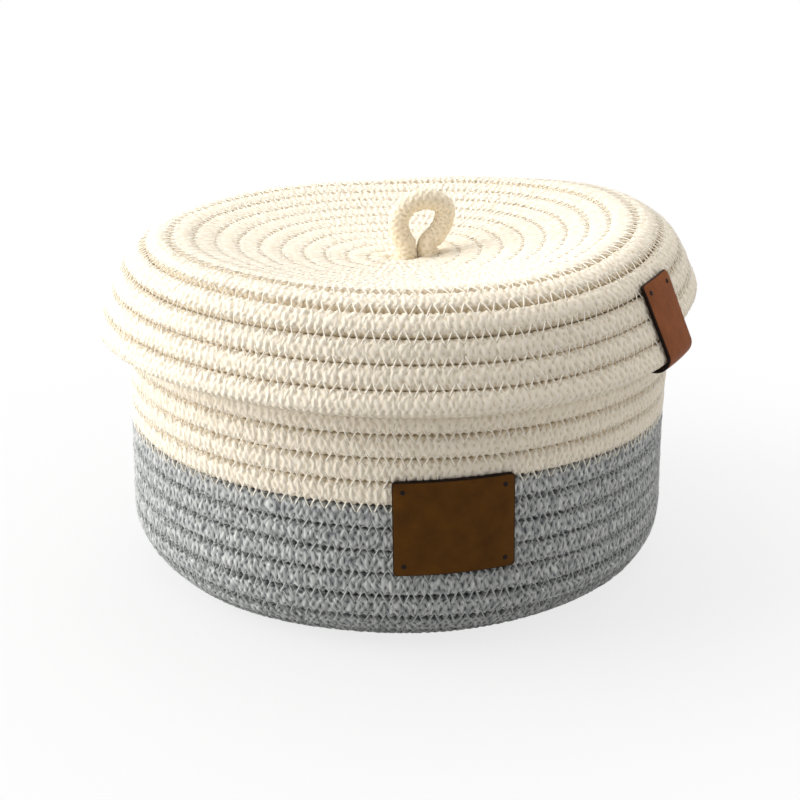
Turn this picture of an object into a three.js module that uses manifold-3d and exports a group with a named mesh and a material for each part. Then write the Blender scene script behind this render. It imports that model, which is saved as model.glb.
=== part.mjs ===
// Lidded storage basket of coiled, machine-sewn cotton rope: a round basket with a grey foot and a cream
// upper wall, a cream lift-off lid with a rope pull loop, a leather patch on the front and a leather tag
// folded over the edge of the lid.
// Millimetres, +Z up, front toward -Y. The origin is the centre of the flat base.
// An azimuth is an angle in degrees from the front toward the right.
import * as THREE from "three";
import { mergeVertices } from "three/addons/utils/BufferGeometryUtils.js";
import Module from "manifold-3d";

const wasm = await Module();
wasm.setup();

// Rope and winding
const ropeDiameter = 7;
const turnGap = 0.5; // between neighbouring turns, where the seam runs
const ropeFace = 3.3; // centre line to the pressed outer or inner face of a sewn turn
const flatHalfWidth = 2; // half the width of that face
const baseCut = ropeDiameter / 10; // how far the floor's turns are flattened where they stand
const stepsPerTurn = 22;
const fineTurns = 5; // turns inside this one have half the steps
const minimumSelfGap = 0.4;

// Basket
const basketDiameter = 173;
const cornerRadius = 20; // outside, from floor to wall
const rowBelowLid = 67.5; // height of the groove at the front from which the rows are counted
const rowsToJoin = 2.5; // from that groove down to the middle of the row that changes colour
const rowsToRim = 1.5; // from that groove up to the middle of the top row
const joinAzimuth = 10.7; // where the grey rope meets the cream rope, behind the patch
const rimEndAzimuth = -140;
const ropeEndGap = 0.3; // between the ends of the two ropes
const floorStartRadius = 4; // centre line of the innermost turn

// Lid
const lidEdgeDiameter = 191.6; // outside, at the lower edge
const skirtFlare = 25; // degrees from upright
const skirtLength = 18; // straight part, along the slope
const shoulderRadius = 18; // outside
const crownDish = 9; // depth of the middle below the shoulder
const crownSlope = 13; // degrees, where the crown meets the shoulder
const shoulderHump = 6; // soft rise of the shoulder on one side
const humpAzimuth = 105;
const seatGap = 0.3; // between the skirt and the rim that carries it
const lidStartRadius = 10.5; // centre line of the innermost turn, around the foot of the loop

// Pull loop
const loopRope = 6.6;
const loopWidth = 21.4; // outside
const loopHeight = 21.6; // above the crown
const legGap = 0.6; // between the legs where they meet the crown
const loopShift = 6; // to the right of the middle, along its own plane
const loopLean = 0.2; // shift to the right for each millimetre of height
const loopYaw = 12; // degrees, which takes the right leg back
const loopBallGap = 0.6; // from the balls down to the top of the crown's middle
const loopFootGap = 0.3; // from the foot to the rope around it
const loopSides = 8;
const loopSteps = 26;

// Leather
const leatherGap = 0.3; // to the rope
const patchThickness = 1.5;
const patchWidth = 35;
const patchHeight = 28.5;
const patchAzimuth = 10.7;
const patchMiddle = 40.6; // height above the base
const patchTurn = 1.2; // degrees, right side up
const patchCorner = 1.2;
const patchHoleInset = 3; // from the edges
const tagThickness = 1.2;
const tagWidth = 15.5;
const tagOuterLength = 25;
const tagInnerLength = 19;
const tagAzimuth = 60; // of the middle of the facet it lies on
const tagShift = 4; // to the left of that middle
const tagCorner = 1.2;
const tagHoleInset = 2.6;
const foldDrop = 1.2; // from the last turn's centre line down to where the fold's round starts
const tagEndCover = 2; // from the end of the lid's rope to the tag's edge
const holeDiameter = 1.4;
const threadDiameter = 0.8;
const stitchHeadDiameter = 2;
const stitchHeadHeight = 0.4;
const stitchGap = 0.15;

const degree = Math.PI / 180;
const ropeRadius = ropeDiameter / 2;
const pitch = ropeDiameter;
const halfRow = (pitch - turnGap) / 2;
const stepAngle = 360 / stepsPerTurn;
const wallRadius = basketDiameter / 2 - ropeRadius; // centre line
const floorHeight = ropeRadius - baseCut; // centre line

const matte = (color, roughness) => new THREE.MeshStandardMaterial({ color, roughness, metalness: 0 });
const creamCotton = matte(0xf1e7d3, 0.95);
const greyCotton = matte(0x9da3a5, 0.95);
const patchLeather = matte(0x8a5430, 0.6);
const tagLeather = matte(0x9a5b38, 0.6);
const darkThread = matte(0x3d2418, 0.9);

const atAzimuth = (azimuth, radius, height) =>
  new THREE.Vector3(radius * Math.sin(azimuth * degree), -radius * Math.cos(azimuth * degree), height);

// Geometry helpers

// One closed body from points and triangles, turned so that its faces point out.
function closedBody(points, triangles) {
  let volume = 0;
  for (const [a, b, c] of triangles)
    volume += points[a].dot(new THREE.Vector3().crossVectors(points[b], points[c])) / 6;
  const facing = volume > 0 ? triangles : triangles.map(([a, b, c]) => [a, c, b]);
  const geometry = new THREE.BufferGeometry();
  geometry.setAttribute("position", new THREE.Float32BufferAttribute(points.flatMap((p) => p.toArray()), 3));
  geometry.setIndex(facing.flat());
  return geometry;
}

// A tube through rings of equal count, with flat ends.
function tube(rings) {
  const sides = rings[0].length;
  const triangles = [];
  for (let r = 0; r + 1 < rings.length; r++)
    for (let k = 0; k < sides; k++) {
      const a = r * sides + k;
      const b = r * sides + ((k + 1) % sides);
      triangles.push([a, b, b + sides], [a, b + sides, a + sides]);
    }
  const last = (rings.length - 1) * sides;
  for (let k = 1; k + 1 < sides; k++) {
    triangles.push([0, k + 1, k]);
    triangles.push([last, last + k, last + k + 1]);
  }
  return closedBody(rings.flat(), triangles);
}

function toSolid(geometry) {
  const bare = geometry.clone();
  for (const name of ["normal", "uv"]) bare.deleteAttribute(name);
  const merged = mergeVertices(bare, 1e-4);
  const vertProperties = merged.attributes.position.array;
  const triVerts = new Uint32Array(merged.index.array);
  return new wasm.Manifold(new wasm.Mesh({ numProp: 3, vertProperties, triVerts }));
}

function fromSolid(solid) {
  const mesh = solid.getMesh();
  const geometry = new THREE.BufferGeometry();
  geometry.setAttribute("position", new THREE.BufferAttribute(mesh.vertProperties, 3));
  geometry.setIndex(new THREE.BufferAttribute(mesh.triVerts, 1));
  return geometry;
}

// Basket: the rope's centre line as [radius, height] at a distance along the surface from the middle.
const cornerCentre = cornerRadius - ropeRadius;
const floorReach = wallRadius - cornerCentre;
const cornerLength = (cornerCentre * Math.PI) / 2;
const wallStart = floorReach + cornerLength;

function basketMeridian(along) {
  if (along <= floorReach) return [along, floorHeight];
  if (along >= wallStart) return [wallRadius, floorHeight + cornerCentre + along - wallStart];
  const turn = (along - floorReach) / cornerCentre;
  return [floorReach + cornerCentre * Math.sin(turn), floorHeight + cornerCentre * (1 - Math.cos(turn))];
}
const wallAlong = (height) => wallStart + height - floorHeight - cornerCentre;

// The rows climb to the left at the front.
const rowHeight = (rows, azimuth) => rowBelowLid + (rows - azimuth / 360) * pitch;
const joinTurns = wallAlong(rowHeight(-rowsToJoin, joinAzimuth)) / pitch;
const rimHeight = rowHeight(rowsToRim, rimEndAzimuth);

// Lid: the crown dips by a power curve, turns over the shoulder by an arc and flares straight to the edge.
// One side of the shoulder rises softly.
const flare = skirtFlare * degree;
const skirtNormal = [Math.cos(flare), Math.sin(flare)];
const shoulderCentre = shoulderRadius - ropeRadius;
const slopeReach = shoulderCentre * (Math.cos(flare) + Math.sin(crownSlope * degree));
const edgeRadius = lidEdgeDiameter / 2 - ropeRadius * skirtNormal[0]; // centre line
const crownRadius = edgeRadius - skirtLength * Math.sin(flare) - slopeReach;
const dishPower = (crownRadius * Math.tan(crownSlope * degree)) / crownDish;

const distance = (a, b) => Math.hypot(a[0] - b[0], a[1] - b[1]);
const profiles = new Map();

// Points of the lid's centre line at an azimuth, with their distances along it. Heights count from the
// shoulder.
function lidProfile(azimuth) {
  if (profiles.has(azimuth)) return profiles.get(azimuth);
  const crownSamples = 60;
  const arcSamples = 24;
  const hump = shoulderHump * Math.max(0, Math.cos((azimuth - humpAzimuth) * degree)) ** 2;
  const rise = crownDish + hump;
  const slope = Math.atan((dishPower * rise) / crownRadius);
  const points = [];
  for (let i = 0; i <= crownSamples; i++) {
    const share = i / crownSamples;
    points.push([crownRadius * share, rise * share ** dishPower - crownDish]);
  }
  const middle = [crownRadius + shoulderCentre * Math.sin(slope), hump - shoulderCentre * Math.cos(slope)];
  for (let i = 1; i <= arcSamples; i++) {
    const turn = ((Math.PI / 2 - flare + slope) * i) / arcSamples - slope;
    points.push([middle[0] + shoulderCentre * Math.sin(turn), middle[1] + shoulderCentre * Math.cos(turn)]);
  }
  const [radius, height] = points.at(-1);
  const reach = 2 * skirtLength;
  points.push([radius + reach * Math.sin(flare), height - reach * Math.cos(flare)]);
  const lengths = [0];
  for (let i = 1; i < points.length; i++) lengths.push(lengths[i - 1] + distance(points[i], points[i - 1]));
  profiles.set(azimuth, { points, lengths });
  return profiles.get(azimuth);
}

function alongProfile({ points, lengths }, along) {
  let i = 1;
  while (i < points.length - 1 && lengths[i] < along) i++;
  const share = (along - lengths[i - 1]) / (lengths[i] - lengths[i - 1]);
  return [0, 1].map((k) => points[i - 1][k] + share * (points[i][k] - points[i - 1][k]));
}

// The lid stands where its skirt rests on the end of the rim's rope, the highest point of the rim. The flat
// facets of a turn lie inside its circle, so the rings of lid and rim are compared at the azimuths of the
// rim's.
const halfFacet = (stepAngle / 2) * degree;
const ringOffset = Math.abs((((tagAzimuth - joinAzimuth) / stepAngle) % 1) * stepAngle) * degree;
const facetShare = Math.cos(halfFacet) / Math.cos(halfFacet - ringOffset);
const frontProfile = lidProfile(0);
const lidEndAlong = frontProfile.lengths.at(-2) + skirtLength;
const rimReach = ropeFace * skirtNormal[0] + flatHalfWidth * skirtNormal[1];
const seatDistance = ropeFace + seatGap + rimReach;
const [skirtEndRadius, skirtEndHeight] = alongProfile(frontProfile, lidEndAlong);
const seatReach = (skirtEndRadius * facetShare - wallRadius) * skirtNormal[0];
const seatDrop = (seatDistance - seatReach) / skirtNormal[1];
const lidHeight = rimHeight - skirtEndHeight + seatDrop;

const lidMeridian = (along, azimuth) => {
  const [radius, height] = alongProfile(lidProfile(azimuth), along);
  return [radius, height + lidHeight];
};
const crownHeight = lidHeight - crownDish; // centre line in the middle

// Winding

// The least distance between points of a tube that lie at least a quarter of a turn apart.
function leastGap(rings) {
  const points = rings.flatMap((ring, i) => {
    const next = rings[Math.min(i + 1, rings.length - 1)];
    return [ring, ring.map((p, k) => p.clone().lerp(next[k], 0.5))];
  });
  const apart = Math.round(stepsPerTurn / 2);
  let least = Infinity;
  for (let i = 0; i < points.length; i++)
    for (let j = i + apart; j < points.length; j++)
      for (const a of points[i]) for (const b of points[j]) least = Math.min(least, a.distanceToSquared(b));
  return Math.sqrt(least);
}

// A rope wound as one unbroken spiral, its turns a pitch apart along the meridian. Places along it count in
// steps from its anchor, which lies in the middle of a facet, and rings stand half a step to either side.
// sense is 1 where it runs to the right at the front, else -1.
// side is 1 where the outer face looks down or outward from a rising meridian, else -1.
function windRope(name, { meridian, anchorTurns, anchorAzimuth, from, to, sense, side, faces }) {
  const ringAt = (step) => {
    const along = (anchorTurns + step / stepsPerTurn) * pitch;
    const azimuth = anchorAzimuth + sense * (step % stepsPerTurn) * stepAngle;
    const [radius, height] = meridian(along, azimuth);
    const inner = meridian(along - halfRow, azimuth);
    const outer = meridian(along + halfRow, azimuth);
    const slope = Math.atan2(outer[1] - inner[1], outer[0] - inner[0]);
    const next = [Math.cos(slope), Math.sin(slope)];
    const out = [side * next[1], -side * next[0]];
    const [outFace, inFace] = faces(along);
    const section = [
      [halfRow, 0],
      [flatHalfWidth, outFace],
      [-flatHalfWidth, outFace],
      [-halfRow, 0],
      [-flatHalfWidth, -inFace],
      [flatHalfWidth, -inFace],
    ];
    return section.map(([n, o]) => {
      const aboveBase = Math.max(0, height + n * next[1] + o * out[1]);
      return atAzimuth(azimuth, radius + n * next[0] + o * out[0], aboveBase);
    });
  };
  // An end of the rope lies on the facet between two rings.
  const endAt = (step) => {
    const below = Math.floor(step - 0.5) + 0.5;
    const above = ringAt(below + 1);
    return ringAt(below).map((point, k) => point.lerp(above[k], step - below));
  };

  const firstRing = Math.ceil(from - 0.5) + 0.5;
  const rings = from === firstRing ? [] : [endAt(from)];
  for (let step = firstRing; step < to; step++) {
    const turns = anchorTurns + step / stepsPerTurn;
    const skipped = turns < fineTurns && (step - firstRing) % 2 !== 0;
    if (!skipped) rings.push(ringAt(step));
  }
  rings.push(endAt(to));

  const gap = leastGap(rings);
  const turnCount = ((to - from) / stepsPerTurn).toFixed(1);
  console.log(`${name}: ${turnCount} turns, least gap to itself ${gap.toFixed(2)} mm`);
  if (gap <= minimumSelfGap) throw new Error(`${name} comes within ${gap.toFixed(2)} mm of itself`);
  return tube(rings);
}
const ringFromMiddle = (radius, anchorTurns) =>
  0.5 - Math.round((anchorTurns - radius / pitch) * stepsPerTurn);
const facetLength = (radius) => 2 * radius * Math.sin(halfFacet);

// The floor is flattened underneath, and the wall is pressed alike on both faces.
function basketFaces(along) {
  const share = THREE.MathUtils.clamp((along - floorReach) / cornerLength, 0, 1);
  return [THREE.MathUtils.lerp(floorHeight, ropeFace, share), ropeFace];
}
const basketWinding = {
  meridian: basketMeridian,
  anchorTurns: joinTurns,
  anchorAzimuth: joinAzimuth,
  sense: -1,
  side: 1,
  faces: basketFaces,
};
const joinHalfGap = ropeEndGap / 2 / facetLength(wallRadius);
const joinToRim = (rowsToJoin + rowsToRim + (joinAzimuth - rimEndAzimuth) / 360) * stepsPerTurn;
const greyRope = windRope("grey_rope", {
  ...basketWinding,
  from: ringFromMiddle(floorStartRadius, joinTurns),
  to: -joinHalfGap,
});
const creamRope = windRope("cream_rope", { ...basketWinding, from: joinHalfGap, to: joinToRim });

// The lid's rope ends inside the fold of the tag.
const lidEndTurns = lidEndAlong / pitch;
const lidStart = ringFromMiddle(lidStartRadius, lidEndTurns);
const lidRope = windRope("lid_rope", {
  meridian: lidMeridian,
  anchorTurns: lidEndTurns,
  anchorAzimuth: tagAzimuth,
  from: lidStart,
  to: (tagWidth / 2 - tagEndCover - tagShift) / facetLength(edgeRadius),
  sense: 1,
  side: -1,
  faces: () => [ropeFace, ropeFace],
});

// The rings of the innermost turn, from the end of the rope to a full turn on, where half the rings are left
// out.
const lidStartRings = Array.from({ length: stepsPerTurn / 2 + 1 }, (_, i) => {
  const step = lidStart + 2 * i;
  return { azimuth: tagAzimuth + step * stepAngle, radius: (lidEndTurns + step / stepsPerTurn) * pitch };
});

// Pull loop: its legs stand on the sewn foot and end in balls, so that it tilts.
const loopRadius = loopRope / 2;
const legOffset = loopRadius + legGap / 2;
const crownTop = crownHeight + ropeFace;
const legHeight = crownTop + loopBallGap + loopRadius;
const legSpan = loopHeight - loopBallGap - loopRope; // centre line, from the balls to the top

function loopPath() {
  const bulge = loopWidth / 2 - loopRadius;
  const side = [
    [legOffset, 0],
    [legOffset + 0.45 * (bulge - legOffset), 0.2 * legSpan],
    [bulge, 0.55 * legSpan],
    [0.8 * bulge, 0.85 * legSpan],
  ];
  const left = side.map(([x, z]) => [-x, z]);
  const outline = [...left, [0, legSpan], ...side.reverse()];
  return new THREE.CatmullRomCurve3(
    outline.map(([x, z]) => new THREE.Vector3(x + loopLean * z, 0, z)),
    false,
    "centripetal",
  );
}

function pullLoop() {
  const path = loopPath();
  const depth = new THREE.Vector3(0, 1, 0);
  const ring = (centre, along, radius) => {
    const wide = new THREE.Vector3().crossVectors(depth, along).normalize();
    return Array.from({ length: loopSides }, (_, k) => {
      const turn = ((k + 0.5) / loopSides) * 2 * Math.PI;
      const offset = wide.clone().multiplyScalar(radius * Math.cos(turn));
      return centre.clone().add(offset).addScaledVector(depth, radius * Math.sin(turn));
    });
  };
  const capTurns = [80, 50, 25].map((angle) => angle * degree);
  const capRing = (share, outward, turn) => {
    const along = path.getTangentAt(share);
    const centre = path.getPointAt(share).addScaledVector(along, outward * loopRadius * Math.sin(turn));
    return ring(centre, along, loopRadius * Math.cos(turn));
  };
  const rings = capTurns.map((turn) => capRing(0, -1, turn));
  for (let i = 0; i <= loopSteps; i++) {
    const share = i / loopSteps;
    rings.push(ring(path.getPointAt(share), path.getTangentAt(share), loopRadius));
  }
  rings.push(...capTurns.toReversed().map((turn) => capRing(1, 1, turn)));
  return tube(rings);
}

// The foot of the loop: its rope's ends, curled flat to fill the middle of the lid's coil. The outline
// follows the rings of the innermost turn and steps round the end of its rope.
function loopFoot() {
  const clearance = halfRow + loopFootGap;
  const outline = lidStartRings.map(({ azimuth, radius }) => atAzimuth(azimuth, radius - clearance, 0));
  const first = lidStartRings[0];
  const onward = atAzimuth(first.azimuth + 90, loopFootGap, 0);
  outline.push(outline.pop().sub(onward), outline[0].clone().sub(onward));
  const shape = new THREE.Shape(outline.map((point) => new THREE.Vector2(point.x, point.y)));
  return new THREE.ExtrudeGeometry(shape, { depth: 2 * ropeFace, bevelEnabled: false });
}

// Leather

function roundedRectangle(width, height, corner, into = new THREE.Shape()) {
  const x = width / 2 - corner;
  const y = height / 2 - corner;
  into.absarc(x, -y, corner, -Math.PI / 2, 0, false);
  into.absarc(x, y, corner, 0, Math.PI / 2, false);
  into.absarc(-x, y, corner, Math.PI / 2, Math.PI, false);
  into.absarc(-x, -y, corner, Math.PI, (3 * Math.PI) / 2, false);
  into.closePath();
  return into;
}

// A plate outline with a hole at each place, as a prism along +Z that starts at z = 0.
function punchedPrism(outline, places, depth) {
  for (const [x, y] of places) {
    const hole = new THREE.Path();
    hole.absarc(x, y, holeDiameter / 2, 0, 2 * Math.PI, true);
    outline.holes.push(hole);
  }
  return new THREE.ExtrudeGeometry(outline, { depth, bevelEnabled: false, curveSegments: 5 });
}

// A frame that looks outward at an azimuth: x to the right, y up, z out of the surface, with a turn about z.
function surfaceFrame(azimuth, radius, height, turn) {
  const frame = new THREE.Matrix4().makeTranslation(atAzimuth(azimuth, radius, height));
  frame.multiply(new THREE.Matrix4().makeRotationZ(azimuth * degree));
  frame.multiply(new THREE.Matrix4().makeRotationX(Math.PI / 2));
  return frame.multiply(new THREE.Matrix4().makeRotationZ(turn * degree));
}

const patchInner = wallRadius + ropeFace + leatherGap;
const patchFrame = surfaceFrame(patchAzimuth, patchInner, patchMiddle, patchTurn);
const patchHoles = [-1, 1].flatMap((x) =>
  [-1, 1].map((y) => [x * (patchWidth / 2 - patchHoleInset), y * (patchHeight / 2 - patchHoleInset)]),
);

const patchOuter = patchInner + patchThickness;
const patchFaceDepth = (x) => Math.sqrt(patchOuter ** 2 - x ** 2) - patchInner;

// The patch bends round the wall: an arc of leather as high as needed, cut by a punched prism from the front.
function patchGeometry() {
  const halfSpan = Math.asin(patchWidth / 2 / patchInner) + patchThickness / patchInner;
  const middle = patchAzimuth * degree - Math.PI / 2;
  const arc = new THREE.Shape();
  arc.absarc(0, 0, patchOuter, middle - halfSpan, middle + halfSpan, false);
  arc.absarc(0, 0, patchInner, middle + halfSpan, middle - halfSpan, true);
  const arcOptions = { depth: 2 * patchHeight, bevelEnabled: false, curveSegments: 12 };
  const band = new THREE.ExtrudeGeometry(arc, arcOptions);
  band.translate(0, 0, patchMiddle - patchHeight);
  const outline = roundedRectangle(patchWidth, patchHeight, patchCorner);
  const prism = punchedPrism(outline, patchHoles, 2 * patchWidth);
  prism.translate(0, 0, -patchWidth).applyMatrix4(patchFrame);
  return fromSolid(toSolid(band).intersect(toSolid(prism)));
}

// The tag folds round the lowest turn of the skirt. Its section is drawn with y up along the skirt from the
// rope's centre and z outward, and its outer leaf has rounded corners and two holes.
const leafOffset = ropeFace + leatherGap;
const skirtFacet = (along) =>
  [-0.5, 0.5].map((share) => {
    const azimuth = tagAzimuth + share * stepAngle;
    return atAzimuth(azimuth, ...lidMeridian(along, azimuth));
  });

// The frame of the facet that the tag lies on, at the last turn: x to the right, y up the skirt, z outward.
function facetFrame() {
  const [left, right] = skirtFacet(lidEndAlong);
  const [upperLeft, upperRight] = skirtFacet(lidEndAlong - skirtLength / 2);
  const origin = left.clone().lerp(right, 0.5);
  const x = right.clone().sub(left).normalize();
  const up = upperLeft.lerp(upperRight, 0.5).sub(origin);
  const z = new THREE.Vector3().crossVectors(x, up).normalize();
  const y = new THREE.Vector3().crossVectors(z, x);
  return new THREE.Matrix4().makeBasis(x, y, z).setPosition(origin.addScaledVector(x, -tagShift));
}
const tagFrame = facetFrame();
const leafFace = leafOffset + tagThickness;
const foldDepth = ropeRadius + 2 * leatherGap;
const leafBottom = foldDepth + tagThickness;
const tagHoles = [-1, 1].map((x) => [
  x * (tagWidth / 2 - tagHoleInset),
  tagOuterLength - leafBottom - tagHoleInset,
]);

function tagGeometry() {
  const outerTop = tagOuterLength - leafBottom;
  const innerTop = tagInnerLength - leafBottom;
  const section = new THREE.Shape();
  section.moveTo(leafFace, outerTop);
  section.lineTo(leafOffset, outerTop);
  section.absellipse(0, -foldDrop, leafOffset, foldDepth - foldDrop, 0, -Math.PI, true);
  section.lineTo(-leafOffset, innerTop);
  section.lineTo(-leafFace, innerTop);
  section.absellipse(0, -foldDrop, leafFace, leafBottom - foldDrop, -Math.PI, 0, false);
  section.closePath();
  const strapOptions = { depth: tagWidth, bevelEnabled: false, curveSegments: 10 };
  const strap = new THREE.ExtrudeGeometry(section, strapOptions);
  strap.translate(0, 0, -tagWidth / 2).rotateY(-Math.PI / 2);
  const height = tagOuterLength + leafBottom;
  const outline = roundedRectangle(tagWidth, height, tagCorner);
  const middle = outerTop - height / 2;
  const prism = punchedPrism(outline, tagHoles.map(([x, y]) => [x, y - middle]), 3 * leafFace);
  prism.translate(0, middle, 0);
  const inside = new THREE.BoxGeometry(2 * tagWidth, 4 * height, 2 * leafFace).translate(0, 0, -leafFace);
  const cut = toSolid(prism).add(toSolid(inside));
  return fromSolid(toSolid(strap).intersect(cut)).applyMatrix4(tagFrame);
}

// A stitch: a thread through a hole in the leather, with its knot flat on the leather.
function stitchGeometry(thickness) {
  const sides = 10;
  const bottom = -thickness - leatherGap / 2;
  const profile = [
    [0, bottom],
    [threadDiameter / 2, bottom],
    [threadDiameter / 2, stitchGap],
    [stitchHeadDiameter / 2, stitchGap],
    [stitchHeadDiameter / 2 - stitchHeadHeight / 2, stitchGap + stitchHeadHeight],
    [0, stitchGap + stitchHeadHeight],
  ];
  const points = profile.map(([x, y]) => new THREE.Vector2(x, y));
  return new THREE.LatheGeometry(points, sides).rotateX(Math.PI / 2);
}

// Assembly

const basket = new THREE.Group();
const piece = (name, geometry, material) => {
  const mesh = new THREE.Mesh(geometry, material);
  mesh.name = name;
  return mesh;
};
basket.add(piece("grey_rope", greyRope, greyCotton));
basket.add(piece("cream_rope", creamRope, creamCotton));
basket.add(piece("front_patch", patchGeometry(), patchLeather));

const onFrame = (mesh, frame, x, y, z) => {
  mesh.applyMatrix4(frame.clone().multiply(new THREE.Matrix4().makeTranslation(x, y, z)));
  return mesh;
};
patchHoles.forEach(([x, y], i) => {
  const stitch = piece(`patch_stitch_${i + 1}`, stitchGeometry(patchThickness), darkThread);
  basket.add(onFrame(stitch, patchFrame, x, y, patchFaceDepth(Math.abs(x) - stitchHeadDiameter / 2)));
});

const lid = new THREE.Group();
lid.add(piece("lid_rope", lidRope, creamCotton));
lid.add(piece("tag", tagGeometry(), tagLeather));
tagHoles.forEach(([x, y], i) => {
  const stitch = piece(`tag_stitch_${i + 1}`, stitchGeometry(tagThickness), darkThread);
  lid.add(onFrame(stitch, tagFrame, x, y, leafFace));
});

const foot = piece("loop_foot", loopFoot(), creamCotton);
foot.position.z = crownHeight - ropeFace;
lid.add(foot);
const loop = piece("pull_loop", pullLoop(), creamCotton);
loop.rotation.z = loopYaw * degree;
loop.position.copy(atAzimuth(90 + loopYaw, loopShift, legHeight));
lid.add(loop);
basket.add(lid);

export default basket;
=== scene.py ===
"""A coiled cotton rope basket and its lid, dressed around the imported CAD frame.

Sizes are in millimetres, and meshes become metres as they are made. Constants give angles in degrees. An
azimuth is in degrees too: 0 is the front, at -Y, and it grows to the right. Along is the distance from the
middle of a coil along its surface, and turns is that distance in rows. Across leads from a row towards the
next one, and out leads off the surface.
"""

import math

import bpy
import numpy as np
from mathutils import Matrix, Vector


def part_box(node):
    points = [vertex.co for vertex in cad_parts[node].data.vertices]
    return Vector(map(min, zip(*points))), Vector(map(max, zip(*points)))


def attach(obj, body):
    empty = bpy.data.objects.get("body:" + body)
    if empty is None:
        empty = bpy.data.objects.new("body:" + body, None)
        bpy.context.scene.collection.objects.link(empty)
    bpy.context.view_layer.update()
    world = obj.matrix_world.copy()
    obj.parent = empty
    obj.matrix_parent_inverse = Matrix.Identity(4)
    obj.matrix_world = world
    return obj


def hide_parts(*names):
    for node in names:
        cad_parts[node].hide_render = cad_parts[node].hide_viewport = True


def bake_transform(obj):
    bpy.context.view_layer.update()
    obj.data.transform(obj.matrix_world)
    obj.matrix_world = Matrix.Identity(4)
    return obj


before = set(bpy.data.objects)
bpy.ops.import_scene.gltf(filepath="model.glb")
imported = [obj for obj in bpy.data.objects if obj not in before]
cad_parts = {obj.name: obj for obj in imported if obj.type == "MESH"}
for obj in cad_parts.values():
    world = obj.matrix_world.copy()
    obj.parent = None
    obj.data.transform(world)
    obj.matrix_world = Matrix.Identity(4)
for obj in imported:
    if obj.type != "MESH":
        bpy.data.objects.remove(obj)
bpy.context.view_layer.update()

METRE = 0.001
DEGREE = math.pi / 180
CIRCLE = 2 * math.pi

# Rope and basket, as in the CAD source
ROPE_RADIUS = 3.5
PITCH = 2 * ROPE_RADIUS
ROPE_FACE = 3.3  # from the CAD rope's centre line to its outer face
BASE_CUT = 0.7  # that the floor's rows are flattened by where they stand
BASKET_RADIUS = 86.5
CORNER_RADIUS = 20
ROW_BELOW_LID = 67.5  # height of the groove at the front from which the rows are counted
ROWS_TO_JOIN = 2.5
ROWS_TO_RIM = 1.5
JOIN_AZIMUTH = 10.7
RIM_END_AZIMUTH = -140
FLOOR_START_RADIUS = 4

# Lid, as in the CAD source
LID_EDGE_RADIUS = 95.8
SKIRT_FLARE = 25
SKIRT_LENGTH = 18
SHOULDER_RADIUS = 18
CROWN_DISH = 9
CROWN_SLOPE = 13
SHOULDER_HUMP = 6
HUMP_AZIMUTH = 105
LID_START_RADIUS = 10.5
FOOT_START_RADIUS = 3.4

# How the lid's coil is drawn
LID_END_SPARE = 0.003  # rows that the rope's end reaches past its azimuth, still under the tag
LID_CUTS = 9, 12.4  # turns where the rope is cut into the pieces of crown, shoulder and skirt
LID_GROOVES = 8, 11  # turns between which the grooves open up, over the shoulder
LID_TABLE_REACH = 135
LID_TABLE_STEP = 0.25

# Pull loop, as in the CAD source
LOOP_RADIUS = 3.3
LOOP_WIDTH = 21.4
LOOP_HEIGHT = 21.6
LOOP_SHIFT = 6
LOOP_LEAN = 0.2
LOOP_YAW = 12
LEG_GAP = 0.6
LOOP_GAP = 0.6  # from its legs to the coil

# How it runs on into the coil, all from the height of the CAD loop's ball ends
LEG_DEPTH = 6  # of the legs, below

# Knit cover
ROW_PRESS = 1.09  # width of a free rope over the room between its neighbours
STITCH_LENGTH = 2.1  # along the rope, from one strand to the next
STITCH_ROWS = 14  # around the rope: a strand reaches over two of them
STITCH_SLANT = 0.22  # of a stitch length, over one row, to one side and the other in turn
STITCH_TIP = 0.75  # of a row, over which a strand tapers
STITCH_RELIEF = 0.34
COVER_LEVEL = 0.6  # share of the relief that lies at the rope's own radius
FUZZ = 0.1  # of loose fibres
CONTACT = 0.72  # cosine around the rope from which the next row presses its cover
CONTACT_PRESS = 0.6  # share of the relief that it presses away
CORE_RADIUS = 7  # of the cushion in the middle of the lid's coil
CORE_HALF_HEIGHT = 2.9

# Seams
SEAM_PERIOD = 4.4  # along the seam, of two strokes of its zigzag
SEAM_REACH = 2.3  # from the seam to the needle holes
HOLE_RADIUS = 0.6
HOLE_DEPTH = 0.17  # of the rope's height
SEAM_PULL = 0.42  # how much squarer a seam pulls the rope's section where it crosses
GROOVE_CLOSED = 0.72  # roundness of a section whose neighbours close the groove
GROOVE_OPEN = 0.95
GROOVE_SIDE = 0.7  # cosine around the rope from which an open groove's shade is painted on it
GROOVE_SHADE = 0.9  # share of the painted groove shade there
THREAD_RADIUS = 0.2
THREAD_HEIGHT = 3.12  # of the taut thread over the rows' centre lines, at the groove
THREAD_RISE = 0.4  # as it climbs the rope beside the groove
THREAD_DIP = 1.0  # into the needle holes
THREAD_LEAN = 0.22  # of a stroke, the range of its lean
THREAD_UNEVEN = 0.5  # the range of its reach
THREAD_SIDES = 4

# Leather, as in the CAD source
PATCH_AZIMUTH = 10.7
PATCH_MIDDLE = 40.6
PATCH_TURN = 1.2
PATCH_WIDTH = 35
PATCH_HEIGHT = 28.5
PATCH_THICKNESS = 1.5
PATCH_HOLE_INSET = 3
LEATHER_GAP = 0.3
TAG_AZIMUTH = 60  # of the lid rope's end
TAG_SHIFT = 4  # to the left of it
TAG_WIDTH = 15.5
TAG_OUTER_LENGTH = 25
TAG_INNER_LENGTH = 19
TAG_THICKNESS = 1.2
TAG_HOLE_INSET = 2.6
LEATHER_CORNER = 1.2
FOLD_DROP = 1.2

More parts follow.
